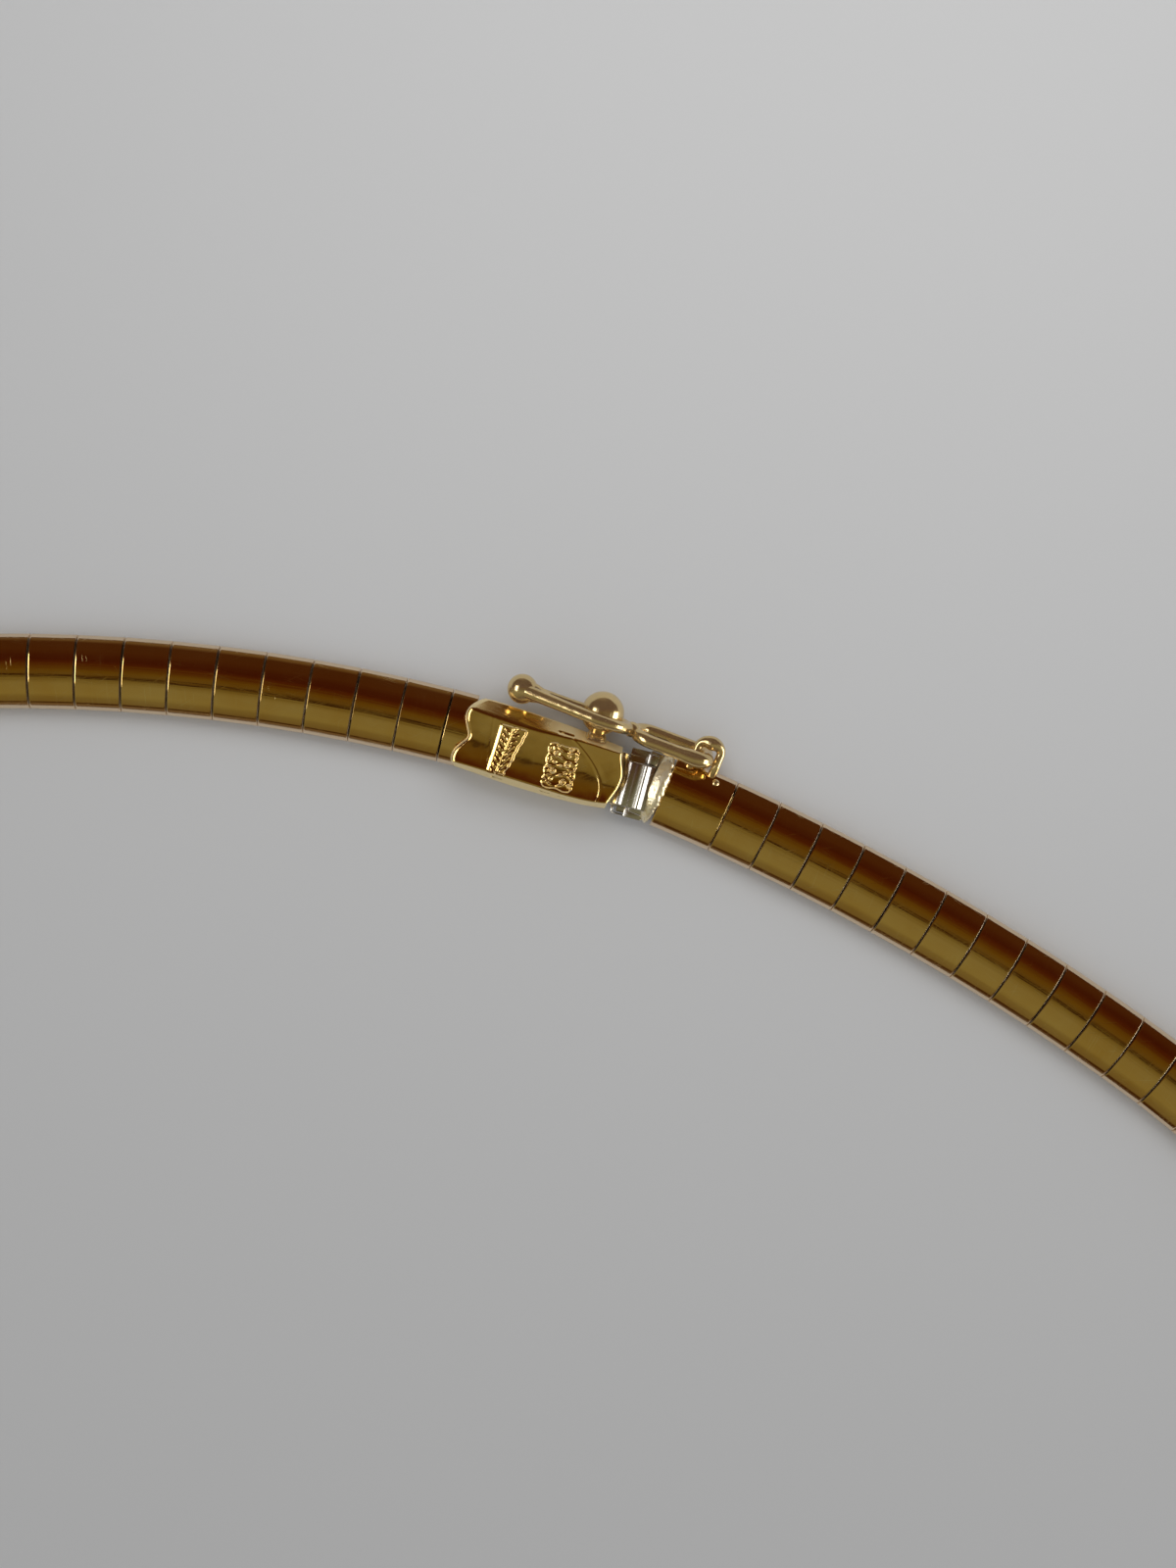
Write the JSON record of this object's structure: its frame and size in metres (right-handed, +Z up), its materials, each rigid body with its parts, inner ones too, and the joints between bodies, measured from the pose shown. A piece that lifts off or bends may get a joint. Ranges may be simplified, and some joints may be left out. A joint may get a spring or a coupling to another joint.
{
  "type": "omega necklace",
  "caption": "Omega necklace of close domed metal plates on a woven strip, with a box clasp, spring tongue and a hinged wire safety latch.",
  "frame": {"origin": "middle of the whole necklace's box, on the surface that it lies on", "axes": "+X along the clasp from its box to its tongue, +Y from the front of the neck to the clasp, +Z up out of the surface, towards the polished side"},
  "size_m": [0.1476, 0.1284, 0.0037],
  "materials": {
    "plates": "polished yellow gold",
    "mesh_core": "fine woven gold wire, satin",
    "clasp_box": "polished yellow gold",
    "tongue": "polished white gold",
    "end_cap": "polished yellow gold, lightly scratched",
    "safety_latch": "polished pale yellow gold wire"
  },
  "bodies": {
    "necklace": {"plates": "plates", "mesh_core": "mesh_core", "clasp_box": "clasp_box", "tongue": "tongue", "end_cap": "end_cap"},
    "latch": {"safety_latch": "safety_latch"}
  },
  "joints": [
    {"name": "latch_swing", "type": "hinge", "parent": "necklace", "child": "latch", "pos_m": [0.00922, 0.06217, 0.00145], "axis": [0, 0, -1], "range_deg": [0, 150]}
  ]
}
